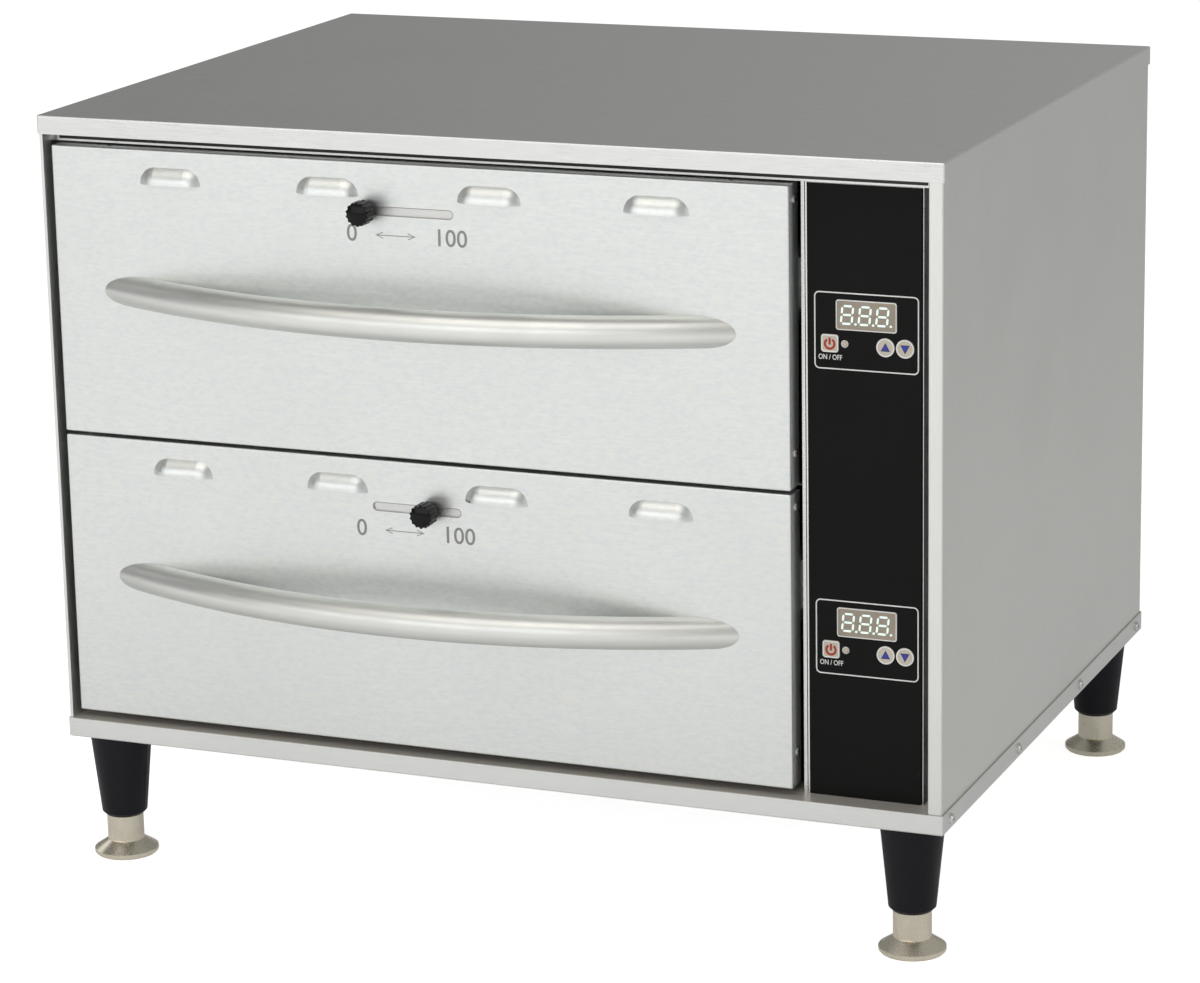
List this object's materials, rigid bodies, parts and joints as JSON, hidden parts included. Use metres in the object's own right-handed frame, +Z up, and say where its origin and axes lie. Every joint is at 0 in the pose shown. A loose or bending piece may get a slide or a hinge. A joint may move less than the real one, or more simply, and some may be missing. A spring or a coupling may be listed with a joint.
{
  "type": "countertop warming drawer",
  "caption": "Freestanding food-warming cabinet on adjustable legs: stacked slide-out drawers with bowed handles and vent sliders, beside an upright control panel.",
  "frame": {"origin": "on the floor, under the middle of the whole object, handles and cord gland included", "axes": "+X to the right seen from the front, +Y to the back, +Z up"},
  "size_m": [0.7548, 0.6376, 0.62],
  "materials": {
    "cover_steel": "brushed along the width",
    "tray_steel": "fine satin",
    "side_steel": "brushed upright",
    "front_steel": "fine satin",
    "bright_steel": "bright",
    "handle_steel": "polished satin",
    "pan_steel": "bright satin",
    "frame_steel": "mill",
    "liner_steel": "aluminised",
    "slide_zinc": "bright zinc",
    "fastener_zinc": "bright zinc",
    "knob_black": "satin",
    "leg_black": "black satin",
    "foot_nickel": "nickel plate",
    "panel_black": "satin",
    "display_window": "smooth",
    "lamp_lens": "smooth",
    "key_cap": "fine matt",
    "board_green": "lacquered",
    "element_sheath": "oxidised",
    "sensor_steel": "smooth",
    "thermostat_body": "matt",
    "insulation_wool": "glass wool",
    "gland_black": "matt",
    "terminal_moulding": "matt"
  },
  "bodies": {
    "cabinet": {"base_tray": "tray_steel", "bay_divider": "bright_steel", "case_fasteners": "fastener_zinc", "control_bezel": "bright_steel", "control_face": "panel_black", "cord_gland": "gland_black", "drawer_shelf": "liner_steel", "header_rail": "bright_steel", "indicator_lamps": "lamp_lens", "insulation": "insulation_wool", "left_liner": "liner_steel", "left_side_panel": "side_steel", "leg_sleeves": "leg_black", "lower_control_board": "board_green", "lower_display": "display_window", "lower_heating_element": "element_sheath", "lower_high_limit": "thermostat_body", "lower_slide_rails": "slide_zinc", "lower_temperature_probe": "sensor_steel", "rear_liner": "liner_steel", "rear_panel": "liner_steel", "right_side_panel": "side_steel", "terminal_block": "terminal_moulding", "top_cover": "cover_steel", "top_liner": "liner_steel", "upper_control_board": "board_green", "upper_display": "display_window", "upper_heating_element": "element_sheath", "upper_high_limit": "thermostat_body", "upper_slide_rails": "slide_zinc", "upper_temperature_probe": "sensor_steel"},
    "front_left_screw_foot": {"front_left_foot": "foot_nickel"},
    "front_right_screw_foot": {"front_right_foot": "foot_nickel"},
    "lower_down_button": {"lower_down_key": "key_cap"},
    "lower_drawer": {"lower_drawer_frame": "frame_steel", "lower_drawer_front": "front_steel", "lower_food_pan": "pan_steel", "lower_front_rivets": "fastener_zinc", "lower_handle": "handle_steel", "lower_slide_runners": "slide_zinc"},
    "lower_power_button": {"lower_power_key": "key_cap"},
    "lower_slide_middle": {"lower_slide_middles": "slide_zinc"},
    "lower_up_button": {"lower_up_key": "key_cap"},
    "lower_vent_slider": {"lower_vent_damper": "frame_steel", "lower_vent_knob": "knob_black"},
    "rear_left_screw_foot": {"rear_left_foot": "foot_nickel"},
    "rear_right_screw_foot": {"rear_right_foot": "foot_nickel"},
    "upper_down_button": {"upper_down_key": "key_cap"},
    "upper_drawer": {"upper_drawer_frame": "frame_steel", "upper_drawer_front": "front_steel", "upper_food_pan": "pan_steel", "upper_front_rivets": "fastener_zinc", "upper_handle": "handle_steel", "upper_slide_runners": "slide_zinc"},
    "upper_power_button": {"upper_power_key": "key_cap"},
    "upper_slide_middle": {"upper_slide_middles": "slide_zinc"},
    "upper_up_button": {"upper_up_key": "key_cap"},
    "upper_vent_slider": {"upper_vent_damper": "frame_steel", "upper_vent_knob": "knob_black"}
  },
  "joints": [
    {"name": "upper_drawer_slide", "type": "slide", "parent": "cabinet", "child": "upper_drawer", "axis": [0, -1, 0], "range_m": [0, 0.42]},
    {"name": "upper_middle_slide", "type": "slide", "parent": "cabinet", "child": "upper_slide_middle", "axis": [0, -1, 0], "range_m": [0, 0.21]},
    {"name": "upper_vent_slide", "type": "slide", "parent": "upper_drawer", "child": "upper_vent_slider", "axis": [1, 0, 0], "range_m": [0, 0.0686]},
    {"name": "upper_power_press", "type": "slide", "parent": "cabinet", "child": "upper_power_button", "axis": [0, 1, 0], "range_m": [0, 0.0008], "stiffness_N_per_m": 300},
    {"name": "upper_up_press", "type": "slide", "parent": "cabinet", "child": "upper_up_button", "axis": [0, 1, 0], "range_m": [0, 0.0008], "stiffness_N_per_m": 300},
    {"name": "upper_down_press", "type": "slide", "parent": "cabinet", "child": "upper_down_button", "axis": [0, 1, 0], "range_m": [0, 0.0008], "stiffness_N_per_m": 300},
    {"name": "lower_drawer_slide", "type": "slide", "parent": "cabinet", "child": "lower_drawer", "axis": [0, -1, 0], "range_m": [0, 0.42]},
    {"name": "lower_middle_slide", "type": "slide", "parent": "cabinet", "child": "lower_slide_middle", "axis": [0, -1, 0], "range_m": [0, 0.21]},
    {"name": "lower_vent_slide", "type": "slide", "parent": "lower_drawer", "child": "lower_vent_slider", "axis": [1, 0, 0], "range_m": [-0.046, 0.0226]},
    {"name": "lower_power_press", "type": "slide", "parent": "cabinet", "child": "lower_power_button", "axis": [0, 1, 0], "range_m": [0, 0.0008], "stiffness_N_per_m": 300},
    {"name": "lower_up_press", "type": "slide", "parent": "cabinet", "child": "lower_up_button", "axis": [0, 1, 0], "range_m": [0, 0.0008], "stiffness_N_per_m": 300},
    {"name": "lower_down_press", "type": "slide", "parent": "cabinet", "child": "lower_down_button", "axis": [0, 1, 0], "range_m": [0, 0.0008], "stiffness_N_per_m": 300},
    {"name": "front_left_foot_turn", "type": "hinge", "parent": "cabinet", "child": "front_left_screw_foot", "pos_m": [-0.342, -0.2381, 0], "axis": [0, 0, 1], "continuous": true},
    {"name": "front_right_foot_turn", "type": "hinge", "parent": "cabinet", "child": "front_right_screw_foot", "pos_m": [0.342, -0.2381, 0], "axis": [0, 0, 1], "continuous": true},
    {"name": "rear_left_foot_turn", "type": "hinge", "parent": "cabinet", "child": "rear_left_screw_foot", "pos_m": [-0.342, 0.2819, 0], "axis": [0, 0, 1], "continuous": true},
    {"name": "rear_right_foot_turn", "type": "hinge", "parent": "cabinet", "child": "rear_right_screw_foot", "pos_m": [0.342, 0.2819, 0], "axis": [0, 0, 1], "continuous": true}
  ],
  "couplings": [
    {"joint": "upper_middle_slide", "follows": "upper_drawer_slide", "ratio": 0.5},
    {"joint": "lower_middle_slide", "follows": "lower_drawer_slide", "ratio": 0.5}
  ]
}
